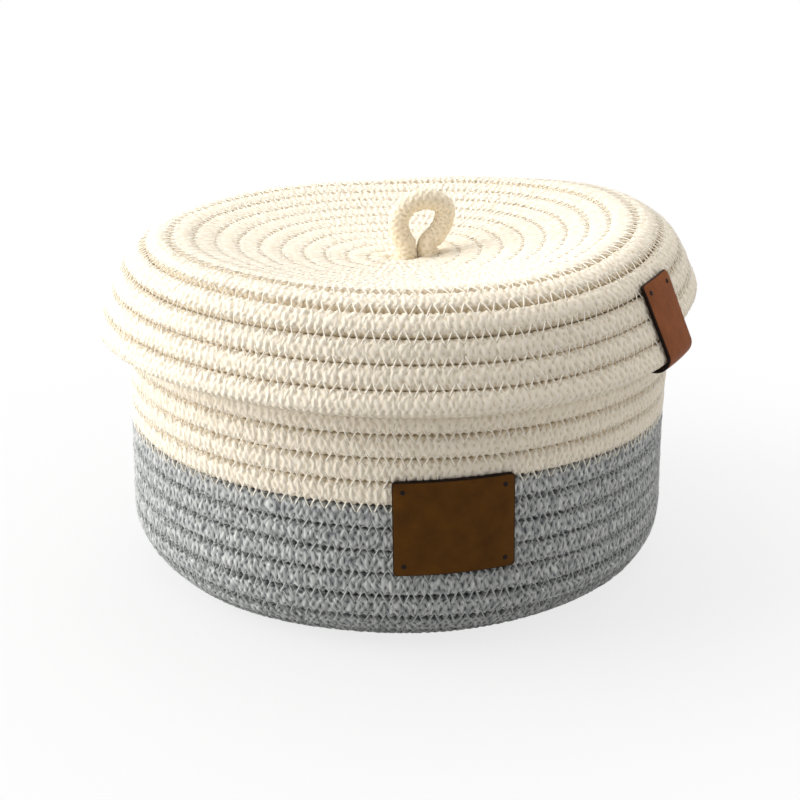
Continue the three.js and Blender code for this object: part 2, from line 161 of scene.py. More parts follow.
# How the leather and its thread are drawn
TAG_GAP = 0.25  # from the round rope
LEATHER_EDGE = 0.3  # radius of the worn edges
KNOT_RADIUS = 0.75
KNOT_HEIGHT = 0.34
KNOT_LOBE = 0.09  # share of the radius that its lobes swing by
KNOT_DIMPLE = 0.22
KNOT_SUNK = 0.05  # that its rim lies below the leather's face

wall_radius = BASKET_RADIUS - ROPE_RADIUS
floor_height = ROPE_RADIUS - BASE_CUT
corner_centre = CORNER_RADIUS - ROPE_RADIUS
floor_reach = wall_radius - corner_centre
wall_start = floor_reach + corner_centre * math.pi / 2


# Coils


def basket_meridian(along, azimuth):
    """Centre line of the basket's rows: flat floor, quarter circle, upright wall, the same all round.
    Returns radius and height."""
    turn = np.clip((along - floor_reach) / corner_centre, 0, math.pi / 2)
    radius = np.minimum(along, floor_reach) + corner_centre * np.sin(turn)
    height = floor_height + corner_centre * (1 - np.cos(turn)) + np.maximum(along - wall_start, 0)
    return radius, height


def lid_profile(hump):
    """The lid's section with its shoulder raised by hump: a power curve up from the dish, an arc over the
    shoulder and a straight skirt. Returns distances along it, radii, and heights above the middle."""
    flare = SKIRT_FLARE * DEGREE
    arc_radius = SHOULDER_RADIUS - ROPE_RADIUS
    edge = LID_EDGE_RADIUS - ROPE_RADIUS * math.cos(flare)
    crown_slope = CROWN_SLOPE * DEGREE
    arc_reach = arc_radius * (math.cos(flare) + math.sin(crown_slope))
    crown_radius = edge - SKIRT_LENGTH * math.sin(flare) - arc_reach
    power = crown_radius * math.tan(crown_slope) / CROWN_DISH
    rise = CROWN_DISH + hump
    slope = math.atan(power * rise / crown_radius)
    share = np.linspace(0, 1, 400)
    turn = np.linspace(-slope, math.pi / 2 - flare, 120)[1:]
    radius = np.concatenate([
        crown_radius * share,
        crown_radius + arc_radius * (math.sin(slope) + np.sin(turn)),
    ])
    height = np.concatenate([rise * share**power, rise + arc_radius * (np.cos(turn) - math.cos(slope))])
    skirt = 2 * SKIRT_LENGTH
    radius = np.append(radius, radius[-1] + skirt * math.sin(flare))
    height = np.append(height, height[-1] - skirt * math.cos(flare))
    along = np.concatenate([[0], np.cumsum(np.hypot(np.diff(radius), np.diff(height)))])
    return along, radius, height


lid_along = np.arange(0, LID_TABLE_REACH, LID_TABLE_STEP)
hump_steps = np.linspace(0, SHOULDER_HUMP, 11)
lid_profiles = [lid_profile(hump) for hump in hump_steps]
lid_radii = np.array([np.interp(lid_along, along, radius) for along, radius, _ in lid_profiles])
lid_heights = np.array([np.interp(lid_along, along, height) for along, _, height in lid_profiles])
lid_end = lid_profiles[0][0][-2] + SKIRT_LENGTH
crown_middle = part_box("loop_foot")[1].z / METRE - ROPE_FACE


def lid_meridian(along, azimuth):
    """Centre line of the lid's rows, from a table over hump and distance. The hump is a squared cosine."""
    hump = SHOULDER_HUMP * np.maximum(0, np.cos((azimuth - HUMP_AZIMUTH) * DEGREE)) ** 2
    across = hump / SHOULDER_HUMP * (len(hump_steps) - 1)
    low = np.minimum(across.astype(int), len(hump_steps) - 2)
    down = along / LID_TABLE_STEP
    near = np.clip(down.astype(int), 0, len(lid_along) - 2)
    hump_share, along_share = across - low, down - near

    def look_up(table):
        here = table[low, near] * (1 - along_share) + table[low, near + 1] * along_share
        higher = table[low + 1, near] * (1 - along_share) + table[low + 1, near + 1] * along_share
        return here * (1 - hump_share) + higher * hump_share

    return look_up(lid_radii), crown_middle + look_up(lid_heights)


def unevenness(along, azimuth):
    """Soft dents and swells of a hand-guided coil, up to about 0.4 mm: sines that close after a turn."""
    turn = azimuth * DEGREE
    return 0.2 * np.sin(3 * turn + 0.06 * along) + 0.14 * np.sin(7 * turn - 0.11 * along + 2)


class Coil:
    """A spiral of rope on a meridian. Its azimuth turns once a row from the anchor, which is a place in
    turns and its azimuth, to the right where sense is 1. Out points down from a level row where side is 1,
    and up where it is -1. First and last are the rope's ends in turns. Groove holds places in turns, and
    how round the rope is at each: 1 is a circle, and less is squarer."""

    def __init__(self, meridian, anchor, sense, side, first, last, groove=((0,), (GROOVE_OPEN,))):
        self.meridian = meridian
        self.anchor = anchor
        self.sense, self.side = sense, side
        self.first, self.last = first, last
        self.groove = groove
        self.table = np.linspace(first, last, 4000)
        self.rope_length = self.length_table(0)
        self.seam_length = self.length_table(0.5)

    def length_table(self, rows_off):
        """Length from the start to each place of the table, of a line so many rows off the centre line."""
        radius, _ = self.meridian((self.table + rows_off) * PITCH, self.azimuth(self.table))
        step = self.table[1] - self.table[0]
        return np.concatenate([[0], np.cumsum((radius[1:] + radius[:-1]) * math.pi * step)])

    def azimuth(self, turns):
        anchor_turns, anchor_azimuth = self.anchor
        return anchor_azimuth + self.sense * (turns - anchor_turns) * 360

    def place(self, along, azimuth, across, out):
        """Points on the surface, moved across and out. The slope is taken between places half a row off."""
        radius, height = self.meridian(along, azimuth)
        inner_radius, inner_height = self.meridian(along - ROPE_RADIUS, azimuth)
        outer_radius, outer_height = self.meridian(along + ROPE_RADIUS, azimuth)
        slope = np.arctan2(outer_height - inner_height, outer_radius - inner_radius)
        next_r, next_z = np.cos(slope), np.sin(slope)
        out = out + unevenness(along, azimuth)
        radius = radius + across * next_r + out * self.side * next_z
        height = height + across * next_z - out * self.side * next_r
        turn = azimuth * DEGREE
        return np.stack([radius * np.sin(turn), -radius * np.cos(turn), height], axis=-1)


rows_below = ROWS_TO_JOIN + JOIN_AZIMUTH / 360
rows_above = ROWS_TO_RIM - RIM_END_AZIMUTH / 360
join_height = ROW_BELOW_LID - rows_below * PITCH
join_turns = (wall_start + join_height - floor_height - corner_centre) / PITCH
rim_turns = join_turns + rows_below + rows_above
basket_coil = Coil(
    basket_meridian, (join_turns, JOIN_AZIMUTH), sense=-1, side=1,
    first=FLOOR_START_RADIUS / PITCH, last=rim_turns,
)
lid_coil = Coil(
    lid_meridian, (lid_end / PITCH, TAG_AZIMUTH), sense=1, side=-1,
    first=FOOT_START_RADIUS / PITCH, last=lid_end / PITCH + LID_END_SPARE,
    groove=(LID_GROOVES, (GROOVE_CLOSED, GROOVE_OPEN)),
)


# Meshes


def grid_faces(rows, columns, closed):
    """Quads of a grid of points, its last column joined to the first where closed."""
    steps = columns if closed else columns - 1
    row, column = np.meshgrid(np.arange(rows - 1), np.arange(steps), indexing="ij")
    here = row * columns + column
    beside = row * columns + (column + 1) % columns
    return np.stack([here, beside, beside + columns, here + columns], axis=-1).reshape(-1, 4)


def make_mesh(name, points, quads, triangles=(), attributes=None):
    """A smooth mesh from points in millimetres, quads and triangles, with one value or vector a point."""
    mesh = bpy.data.meshes.new(name)
    triangles = np.array(triangles, int).reshape(-1, 3)
    loops = np.concatenate([np.asarray(quads).ravel(), triangles.ravel()]).astype(np.int32)
    counts = np.concatenate([np.full(len(quads), 4), np.full(len(triangles), 3)]).astype(np.int32)
    starts = np.concatenate([[0], np.cumsum(counts)[:-1]]).astype(np.int32)
    mesh.vertices.add(len(points))
    mesh.vertices.foreach_set("co", (points * METRE).astype(np.float32).ravel())
    mesh.loops.add(len(loops))
    mesh.loops.foreach_set("vertex_index", loops)
    mesh.polygons.add(len(counts))
    mesh.polygons.foreach_set("loop_start", starts)
    mesh.polygons.foreach_set("use_smooth", np.ones(len(counts), bool))
    for key, values in (attributes or {}).items():
        values = np.asarray(values, np.float32)
        kind, field = ("FLOAT", "value") if values.ndim == 1 else ("FLOAT_VECTOR", "vector")
        mesh.attributes.new(key, kind, "POINT").data.foreach_set(field, values.ravel())
    mesh.update(calc_edges=True)
    piece = bpy.data.objects.new(name, mesh)
    bpy.context.scene.collection.objects.link(piece)
    return piece


def tube_mesh(name, grid, attributes, flip=False):
    """A closed tube from rings of points, each end closed by a fan to the middle of its ring."""
    rings, sides, _ = grid.shape
    points = np.concatenate([grid.reshape(-1, 3), [grid[0].mean(axis=0), grid[-1].mean(axis=0)]])
    quads = grid_faces(rings, sides, True)
    here = np.arange(sides)
    onward = (here + 1) % sides
    first, last = rings * sides, rings * sides + 1
    end = (rings - 1) * sides
    triangles = np.concatenate([
        np.stack([onward, here, np.full(sides, first)], axis=1),
        np.stack([end + here, end + onward, np.full(sides, last)], axis=1),
    ])
    if flip:
        quads, triangles = quads[:, ::-1], triangles[:, ::-1]
    whole = {}
    for key, values in attributes.items():
        flat = values.reshape(rings * sides, -1)
        whole[key] = np.concatenate([flat, flat[:1], flat[-1:]]).squeeze()
    return make_mesh(name, points, quads, triangles, whole)


# Rope


def cell_noise(*cells):
    """A repeatable value from 0 to 1 for each whole-numbered cell: the last digits of a steep sine."""
    mixed = sum(cell * factor for cell, factor in zip(cells, (12.9898, 78.233, 37.719)))
    wave = np.sin(mixed) * 43758.5453
    return wave - np.floor(wave)


def to_and_fro(value, reach):
    """Rises from 0 to reach and falls back, over and over."""
    return reach - np.abs(np.mod(value, 2 * reach) - reach)


def soft_step(value):
    """Smooth rise from 0 to 1."""
    value = np.clip(value, 0, 1)
    return value * value * (3 - 2 * value)


def superellipse(value, power):
    """A sine or cosine bent towards the corners of a square: its own power, with its sign kept."""
    return np.sign(value) * np.abs(value) ** power


def knit(length, angle):
    """The rope's cover: leaf-shaped strands in a diamond lattice, made of two sets that lie half a strand
    and one row apart and lean opposite ways. Each rises from its sides and tips in a smooth step, and the
    higher set shows. Sines make the lattice wander a little. Returns its height from 0 to 1, and the place
    in it: the count of strands along the rope, and of rows around."""
    wander = (
        0.16 * np.sin(0.37 * length - 3 * angle + 1)
        + 0.1 * np.sin(0.9 * length + 2 * angle)
        + 0.06 * np.sin(1.7 * length - 5 * angle + 2)
    )
    twist = 0.5 * np.sin(length / 170) + 0.15 * np.sin(length / 47 + 1)
    sway = 0.14 * np.sin(0.8 * length + 3 * angle) + 0.1 * np.sin(1.9 * length - 4 * angle)
    along = length / STITCH_LENGTH + wander
    around = angle / CIRCLE * STITCH_ROWS + twist + sway
    height = 0 * along
    for number, lean in enumerate((STITCH_SLANT, -STITCH_SLANT)):
        row = around + number
        strand = along + 0.5 * number + lean * (np.mod(row, 2) - 1)
        side = soft_step(to_and_fro(strand, 0.5) / 0.5)
        tip = soft_step(to_and_fro(row, 1) / STITCH_TIP)
        pair = np.mod(np.floor(row / 2), STITCH_ROWS / 2)
        full = 0.75 + 0.25 * cell_noise(np.floor(strand), pair, number)
        height = np.maximum(height, side * tip * full)
    return height, np.stack([along, around, 0 * height], axis=-1)


def needle_holes(phase, exists, across, hole_phase, hole_across):
    """How deep each point lies in a needle hole, from 0 to 1: a bell around each place where the seam dips
    in. Each hole has its own depth, from 0.35 to 1."""
    off = (phase - hole_phase - np.round(phase - hole_phase)) * SEAM_PERIOD
    distance = np.hypot(off[:, None], across - hole_across)
    deep = 0.35 + 0.65 * cell_noise(np.round(phase - hole_phase))
    return np.exp(-((distance / HOLE_RADIUS) ** 2)) * (deep * exists)[:, None]


def section_angles(fine_step, inner_step):
    """Angles around the rope, from the next row by the outer face: close together where the cover shows."""
    contact = 22
    outer = np.arange(contact, 180 - contact + 0.1, fine_step)
    inner = np.arange(180 + contact, 360 - contact + 0.1, inner_step)
    return np.concatenate([[0], outer, [180], inner]) * DEGREE


def rope_piece(name, coil, start, end, ring_step=STITCH_LENGTH / 5, fine_step=11.34, inner_step=22.67):
    """A length of a coil's rope as a tube, with rings a ring step apart. Its section is a circle squared by
    the pressure of the rows beside it, most where a seam crosses over to them, and cut flat where it meets
    them. The cover raises it and needle holes sink it. The sunk value marks the holes, where the material
    also paints the valley's shade, and the third place value marks the painted shade of the open grooves
    between two strokes of a seam."""
    first, last = np.interp([start, end], coil.table, coil.rope_length)
    count = max(2, round((last - first) / ring_step) + 1)
    length = np.linspace(first, last, count)
    turns = np.interp(length, coil.rope_length, coil.table)
    angle = section_angles(fine_step, inner_step)[None, :]
    facing = np.abs(np.cos(angle))

    above = np.interp(turns, coil.table, coil.seam_length) / SEAM_PERIOD
    below = np.interp(turns - 1, coil.table, coil.seam_length) / SEAM_PERIOD
    pulled_above = 0.5 - 0.5 * np.cos(2 * CIRCLE * above)[:, None]
    pulled_below = 0.5 - 0.5 * np.cos(2 * CIRCLE * below)[:, None]
    beside = 0.5 + 0.5 * np.cos(angle)
    pulled = pulled_above * beside + pulled_below * (1 - beside)
    roundness = np.interp(turns, *coil.groove)[:, None]
    open_groove = np.clip((roundness - GROOVE_CLOSED) / (GROOVE_OPEN - GROOVE_CLOSED), 0, 1)

    height, place = knit(length[:, None], angle)
    press = CONTACT_PRESS * np.clip((facing - CONTACT) / (1 - CONTACT), 0, 1)
    fuzz = cell_noise(np.arange(count)[:, None], np.arange(angle.size)[None, :]) - 0.5
    relief = STITCH_RELIEF * (height - COVER_LEVEL) + FUZZ * fuzz
    radius = ROPE_RADIUS + relief * (1 - press)
    power = roundness - SEAM_PULL * pulled
    across = ROW_PRESS * radius * superellipse(np.cos(angle), power)
    out = radius * superellipse(np.sin(angle), power)

    # needle holes: they sink the rope, and the material paints the valley's shade in them
    reach = ROPE_RADIUS - SEAM_REACH
    holes = needle_holes(above, turns <= coil.last - 1, across, 0.5, reach)
    holes = np.maximum(holes, needle_holes(below, turns >= coil.first + 1, across, 0, -reach))
    out = out * (1 - HOLE_DEPTH * holes)
    # painted shade of the open grooves between strokes of a seam, on the sides that face the next rows
    place[..., 2] = GROOVE_SHADE * (1 - pulled) * soft_step((facing - GROOVE_SIDE) / 0.2) * open_groove
    across = np.clip(across, -ROPE_RADIUS, ROPE_RADIUS)
    grid = coil.place((turns * PITCH)[:, None], coil.azimuth(turns)[:, None], across, out)
    grid[..., 2] = np.maximum(grid[..., 2], 0)
    return tube_mesh(name, grid, {"sunk": holes, "place": place}, flip=coil.sense * coil.side < 0)


def foot_core():
    """The rope's own end, curled up in the middle of the lid's coil: a flat round cushion, its section a
    superellipse of the power 4, covered as the rope is."""
    slope = np.linspace(-90, 90, 15)[:, None] * DEGREE
    turn = np.arange(40) / 40 * CIRCLE
    radius = CORE_RADIUS * np.sqrt(np.maximum(np.cos(slope), 0.02))
    lift = CORE_HALF_HEIGHT * superellipse(np.sin(slope), 0.5)
    x, y = radius * np.sin(turn), -radius * np.cos(turn)
    _, place = knit(x + 0.3 * y, y / ROPE_RADIUS)
    grid = np.stack([x, y, crown_middle + lift + 0 * x], axis=-1)
    return tube_mesh("loop_foot_core", grid, {"sunk": 0 * x, "place": place})


def seam_piece(name, coil, start, end, face):
    """The zigzag thread over the seams from one place of a coil to another, on its outer face (1) or inner
    face (-1): a thin tube. Each stroke is taut over the groove and dips into the rope at both ends, and its
    ends lean and reach by an uneven amount."""
    share = np.array([0, 0.13, 0.3, 0.7, 0.87])
    first, last = np.interp([start, end], coil.table, coil.seam_length) / SEAM_PERIOD * 2
    strokes = np.arange(math.ceil(first), math.floor(last))
    stroke = np.repeat(strokes, len(share))
    part = np.tile(share, len(strokes))
    lean, more = (
        cell_noise(stroke, cell) * (1 - part) + cell_noise(stroke + 1, cell) * part - 0.5 for cell in (3, 5)
    )
    sewn = (stroke + part + THREAD_LEAN * lean) / 2 * SEAM_PERIOD
    turns = np.interp(sewn, coil.seam_length, coil.table)
    swing = 1 - 2 * np.abs(np.mod(stroke + part, 2) - 1)
    across = -swing * (SEAM_REACH + THREAD_UNEVEN * more)
    dip = soft_step((np.abs(swing) - 0.55) / 0.45)
    lift = THREAD_HEIGHT + THREAD_RISE * soft_step(np.abs(swing)) - THREAD_DIP * dip
    azimuth = coil.azimuth(turns)
    along = (turns + 0.5) * PITCH + across
    centre = coil.place(along, azimuth, 0, face * lift)
    centre[:, 2] = np.maximum(centre[:, 2], THREAD_RADIUS)
    outward = coil.place(along, azimuth, 0, face * (lift + 1)) - centre
    outward /= np.linalg.norm(outward, axis=1, keepdims=True) + 1e-9
    sideways = np.cross(np.gradient(centre, axis=0), outward)
    sideways /= np.linalg.norm(sideways, axis=1, keepdims=True) + 1e-9
    turn = (np.arange(THREAD_SIDES) / THREAD_SIDES * CIRCLE)[None, :, None]
    ring = np.cos(turn) * sideways[:, None, :] + np.sin(turn) * outward[:, None, :]
    return tube_mesh(name, centre[:, None, :] + THREAD_RADIUS * ring, {}, flip=True)


# Leather


def strap_piece(name, width, length, thickness, bend, steps):
    """A cut strap of leather. Its section, a flat oblong with round edges, is carried from one end to the
    other and narrows round the corners. The section's second half is its first, turned over. Bend takes
    places across the strap, along it and up from its back to the object. Rim holds each point's distance
    from the cut, and hide its place in the flat strap."""
    near_end = np.array([0.08, 0.2, 0.4, 0.7])
    along = np.unique(np.concatenate([np.linspace(0, length, steps), near_end, length - near_end]))[:, None]
    from_end = np.minimum(along, length - along)
    corner = np.clip(LEATHER_CORNER - from_end, 0, LEATHER_CORNER)
    half_width = width / 2 - LEATHER_CORNER + np.sqrt(LEATHER_CORNER**2 - corner**2)
    worn = np.clip(LEATHER_EDGE - from_end, 0, LEATHER_EDGE)
    half_height = thickness / 2 - LEATHER_EDGE + np.sqrt(LEATHER_EDGE**2 - worn**2)

    turn = np.linspace(-90, 90, 7) * DEGREE
    flat = np.linspace(1, -1, 15)[1:-1]
    core_width = half_width - LEATHER_EDGE
    core_height = np.maximum(half_height - LEATHER_EDGE, 0)
    edge_height = np.minimum(LEATHER_EDGE, half_height)
    half_x = np.concatenate([core_width + LEATHER_EDGE * np.cos(turn), core_width * flat], axis=1)
    half_z = np.concatenate([
        core_height * np.sign(np.sin(turn)) + edge_height * np.sin(turn),
        half_height + 0 * flat,
    ], axis=1)
    x = np.concatenate([half_x, -half_x], axis=1)
    z = np.concatenate([half_z, -half_z], axis=1)
    y = along + 0 * x
    rim = np.minimum(half_width - np.abs(x), from_end)
    hide = np.stack([x, y, z], axis=-1)
    return tube_mesh(name, bend(x, y, z + thickness / 2), {"rim": rim, "hide": hide})


def knot_piece(name, centre, outward):
    """The thread's knot in a hole of the leather: a low dome with five lobes, sunk at its middle."""
    rings = np.linspace(0, 1, 7)[1:, None]
    turn = np.arange(20) / 20 * CIRCLE
    reach = KNOT_RADIUS * np.sin(rings * math.pi / 2) * (1 + KNOT_LOBE * np.cos(5 * turn))
    dimple = KNOT_DIMPLE * np.exp(-((rings / 0.3) ** 2))
    lift = KNOT_HEIGHT * np.cos(rings * math.pi / 2) - dimple - KNOT_SUNK
    outward = outward / np.linalg.norm(outward)
    sideways = np.cross((0, 0, 1), outward)
    sideways /= np.linalg.norm(sideways)
    upward = np.cross(outward, sideways)
    grid = (
        centre
        + (reach * np.cos(turn))[..., None] * sideways
        + (reach * np.sin(turn))[..., None] * upward
        + (lift + 0 * reach)[..., None] * outward
    )
    return tube_mesh(name, grid, {}, flip=True)


patch_inner = wall_radius + ROPE_FACE + LEATHER_GAP
tag_inner = ROPE_RADIUS + TAG_GAP
tag_outer_top = TAG_OUTER_LENGTH - ROPE_RADIUS - 2 * LEATHER_GAP - TAG_THICKNESS
tag_inner_top = TAG_INNER_LENGTH - ROPE_RADIUS - 2 * LEATHER_GAP - TAG_THICKNESS


def bend_patch(x, y, z):
    """Bends the patch round the wall, turned a little in its plane. y counts down from the top edge."""
    turn = PATCH_TURN * DEGREE
    y = PATCH_HEIGHT / 2 - y
    across = x * math.cos(turn) - y * math.sin(turn)
    up = x * math.sin(turn) + y * math.cos(turn)
    azimuth = PATCH_AZIMUTH * DEGREE + across / patch_inner
    radius = patch_inner + z
    return np.stack([radius * np.sin(azimuth), -radius * np.cos(azimuth), PATCH_MIDDLE + up], axis=-1)


def tag_path():
    """The tag's back: down the outer face of the lid's edge, round the rope in half an ellipse, and up the
    inner face. Returns distances, places down from the last row's centre and out from it, and how far the
    leather has turned."""
    turn = np.linspace(0, math.pi, 60)
    deep = ROPE_RADIUS + 2 * LEATHER_GAP - FOLD_DROP
    down = np.concatenate([[-tag_outer_top], FOLD_DROP + deep * np.sin(turn), [-tag_inner_top]])
    out = np.concatenate([[tag_inner], tag_inner * np.cos(turn), [-tag_inner]])
    length = np.concatenate([[0], np.cumsum(np.hypot(np.diff(down), np.diff(out)))])
    side = np.concatenate([[0], turn, [math.pi]])
    return length, down, out, side


tag_length, tag_down, tag_out, tag_side = tag_path()


def bend_tag(x, y, z):
    """Folds the tag round the lid's edge. The strap keeps its width where the lid narrows."""
    side = np.interp(y, tag_length, tag_side)
    down = np.interp(y, tag_length, tag_down) + z * np.sin(side)
    out = np.interp(y, tag_length, tag_out) + z * np.cos(side)
    along = lid_end + down
    middle = np.full(along.shape, float(TAG_AZIMUTH))
    radius, _ = lid_meridian(along, middle)
    return lid_coil.place(along, TAG_AZIMUTH + (x - TAG_SHIFT) / radius / DEGREE, 0, out)


# Materials


def srgb(code):
    """A hex colour as linear red, green, blue and alpha."""
    parts = [int(code[i : i + 2], 16) / 255 for i in (1, 3, 5)]
    return [part / 12.92 if part <= 0.04045 else ((part + 0.055) / 1.055) ** 2.4 for part in parts] + [1]


def add(tree, kind, links=None, values=None, **settings):
    """Adds a shader node, sets its properties and socket values, and links sockets into it. A link that is
    given as a node comes from that node's first output."""
    node = tree.nodes.new("ShaderNode" + kind)
    for key, value in settings.items():
        setattr(node, key, value)
    for key, value in (values or {}).items():
        node.inputs[key].default_value = value
    for key, source in (links or {}).items():
        socket = source.outputs[0] if isinstance(source, bpy.types.Node) else source
        tree.links.new(socket, node.inputs[key])
    return node


def new_material(name):
    material = bpy.data.materials.new(name)
    material.use_nodes = True
    tree = material.node_tree
    return material, tree, tree.nodes["Principled BSDF"]


def strand_height(tree, along, around):
    """Height of the cover from 0 to 1, worked out from a place on it as knit() does, and 0 in a hole. Low
    places get painted shade.
    """
    smooth = "SMOOTHSTEP"
    sets = []
    for number, lean in enumerate((STITCH_SLANT, -STITCH_SLANT)):
        row = add(tree, "Math", {0: around}, {1: number}, operation="ADD")
        over = add(tree, "Math", {0: row}, {1: 2, 2: 0}, operation="WRAP")
        leant = add(tree, "Math", {0: over, 2: along}, {1: lean}, operation="MULTIPLY_ADD")
        strand = add(tree, "Math", {0: leant}, {1: 0.5 * number - lean}, operation="ADD")
        beside = add(tree, "Math", {0: strand}, {1: 0.5}, operation="PINGPONG")
        ahead = add(tree, "Math", {0: row}, {1: 1}, operation="PINGPONG")
        side = add(tree, "MapRange", {"Value": beside}, {"From Max": 0.5}, interpolation_type=smooth)
        tip = add(tree, "MapRange", {"Value": ahead}, {"From Max": STITCH_TIP}, interpolation_type=smooth)
        sets.append(add(tree, "Math", {0: side, 1: tip}, operation="MULTIPLY"))
    strands = add(tree, "Math", {0: sets[0], 1: sets[1]}, operation="MAXIMUM")
    # in a needle hole the height falls to 0, which deepens the bump and paints the valley's shade
    sunk = add(tree, "Attribute", attribute_name="sunk")
    level = add(tree, "Math", {0: sunk.outputs["Fac"]}, {1: -1, 2: 1}, operation="MULTIPLY_ADD")
    return add(tree, "Math", {0: strands, 1: level}, operation="MULTIPLY")


def knit_cotton(name, crest, fleck, valley, painted_groove_shade):
    """Knitted cotton cord, soft and matt. Strands have the colour crest, with paler streaks of fleck;
    valley is the painted shade between them and in needle holes, and gap is the painted shade of the open
    groove beside a row. The streaks run along a strand as spun fibres do, about 0.4 mm apart, which is
    coarser than real fibres so that they show."""
    material, tree, shader = new_material(name)
    place = add(tree, "Attribute", attribute_name="place")
    parts = add(tree, "SeparateXYZ", {0: place.outputs["Vector"]})
    height = strand_height(tree, parts.outputs["X"], parts.outputs["Y"])

    spun = add(tree, "Mapping", {"Vector": place.outputs["Vector"]}, {"Scale": (5, 1, 1)})
    fibre = add(tree, "TexNoise", {"Vector": spun}, {"Scale": 1, "Detail": 3})
    dye = add(tree, "TexNoise", {"Vector": place.outputs["Vector"]}, {"Scale": 0.9, "Detail": 1})
    mottle = add(tree, "Math", {0: dye, 1: fibre}, operation="ADD")
    raised = add(tree, "Math", {0: height, 2: mottle}, {1: 0.35}, operation="MULTIPLY_ADD")
    streak = add(tree, "MapRange", {"Value": raised}, {"From Min": 0.95, "From Max": 1.5})
    top = add(tree, "Mix", {"Factor": streak}, {"A": srgb(crest), "B": srgb(fleck)}, data_type="RGBA")

    # the valley colour paints shade where the cover is low: between strands and in needle holes
    patchy = add(tree, "Math", {0: fibre, 2: height}, {1: 0.5}, operation="MULTIPLY_ADD")
    lit = add(
        tree, "MapRange", {"Value": patchy}, {"From Min": 0.16, "From Max": 0.54},
        interpolation_type="SMOOTHSTEP",
    )
    colour = add(
        tree, "Mix", {"Factor": lit, "B": top.outputs["Result"]}, {"A": srgb(valley)}, data_type="RGBA"
    )
    # mixes in the painted shade of the open grooves, by the third place value
    painted_groove_mix = add(
        tree, "Mix", {"Factor": parts.outputs["Z"], "A": colour.outputs["Result"]}, {"B": srgb(painted_groove_shade)},
        data_type="RGBA",
    )
    tree.links.new(painted_groove_mix.outputs["Result"], shader.inputs["Base Color"])

    where = add(tree, "TexCoord")
    fuzz = add(tree, "TexNoise", {"Vector": where.outputs["Object"]}, {"Scale": 2400, "Detail": 2})
    loose = add(tree, "Math", {0: fibre, 1: fuzz}, operation="ADD")
    fine = add(tree, "Bump", {"Height": loose}, {"Strength": 0.6, "Distance": 0.00016})
    bump = add(tree, "Bump", {"Height": height, "Normal": fine}, {"Strength": 0.6, "Distance": 0.0003})
    tree.links.new(bump.outputs[0], shader.inputs["Normal"])
    shader.inputs["Roughness"].default_value = 0.95
    shader.inputs["Specular IOR Level"].default_value = 0.2
    shader.inputs["Sheen Weight"].default_value = 0.2
    return material


def sewing_thread(name, colour):
    """Spun polyester sewing thread: smooth, faintly glossy, and of one colour at this size."""
    material, tree, shader = new_material(name)
    shader.inputs["Base Color"].default_value = srgb(colour)
    shader.inputs["Roughness"].default_value = 0.65
    shader.inputs["Specular IOR Level"].default_value = 0.15
    return material


def vegetable_tanned_leather(name, face, shade, cut):
    """Vegetable-tanned cowhide, waxed to a satin shine: a fine pebbled grain of about 0.7 mm, cloudy dye,
    and cut edges scorched dark, with a soft brown line beside them."""
    material, tree, shader = new_material(name)
    hide = add(tree, "Attribute", attribute_name="hide").outputs["Vector"]
    cloud = add(tree, "TexNoise", {"Vector": hide}, {"Scale": 0.16, "Detail": 4})
    pores = add(tree, "TexVoronoi", {"Vector": hide}, {"Scale": 1.5})
    grain = add(tree, "TexNoise", {"Vector": hide}, {"Scale": 2.4, "Detail": 4})
    dye = add(tree, "MapRange", {"Value": cloud}, {"From Min": 0.35, "From Max": 0.68})
    body = add(tree, "Mix", {"Factor": dye}, {"A": srgb(face), "B": srgb(shade)}, data_type="RGBA")
    rim = add(tree, "Attribute", attribute_name="rim").outputs["Fac"]
    inward = add(
        tree, "MapRange", {"Value": rim}, {"From Min": 0.1, "From Max": 0.5},
        interpolation_type="SMOOTHSTEP",
    )
    colour = add(
        tree, "Mix", {"Factor": inward, "B": body.outputs["Result"]}, {"A": srgb(cut)}, data_type="RGBA"
    )
    tree.links.new(colour.outputs["Result"], shader.inputs["Base Color"])
    rough = add(tree, "MapRange", {"Value": grain}, {"To Min": 0.4, "To Max": 0.62})
    tree.links.new(rough.outputs[0], shader.inputs["Roughness"])
    both = add(tree, "Math", {0: pores, 1: grain}, operation="ADD")
    bump = add(tree, "Bump", {"Height": both}, {"Strength": 0.5, "Distance": 0.00012})
    tree.links.new(bump.outputs[0], shader.inputs["Normal"])
    shader.inputs["IOR"].default_value = 1.46
    shader.inputs["Specular IOR Level"].default_value = 0.1
    return material


# Each cotton's colours: crest, fleck, valley for the painted shade between strands and in needle holes, and
# the painted shade of open grooves.
cream_cotton = knit_cotton("knitted_cream_cotton", "#F4E7D1", "#FAF0DF", "#D8CAAD", "#D3C4A7")
grey_cotton = knit_cotton("knitted_grey_cotton", "#858788", "#D8D9D5", "#34373B", "#1E2125")
# The pull loop's cotton: a tanner copy of the cream, its tan a painted shade, with paler valleys that paint
# less shade between strands.
shaded_loop_cotton = knit_cotton("shaded_loop_cream_cotton", "#F2E4C9", "#F8ECD6", "#DECDAC", "#DECDAC")
cream_thread = sewing_thread("cream_sewing_thread", "#FBF5E8")
grey_thread = sewing_thread("grey_sewing_thread", "#C4C6C4")
patch_leather = vegetable_tanned_leather("waxed_patch_leather", "#5A3706", "#4C2C03", "#1A0E07")
tag_leather = vegetable_tanned_leather("waxed_tag_leather", "#8A4B22", "#78401A", "#1A0F0A")
dark_thread = sewing_thread("waxed_dark_thread", "#170D08")


def finish_piece(piece, material, body, slot, *nodes):
    """Gives a piece its material and body, and hides the CAD nodes that it stands for. Slot is not used."""
    piece.data.materials.append(material)
    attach(piece, body)
    if nodes:
        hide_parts(*nodes)


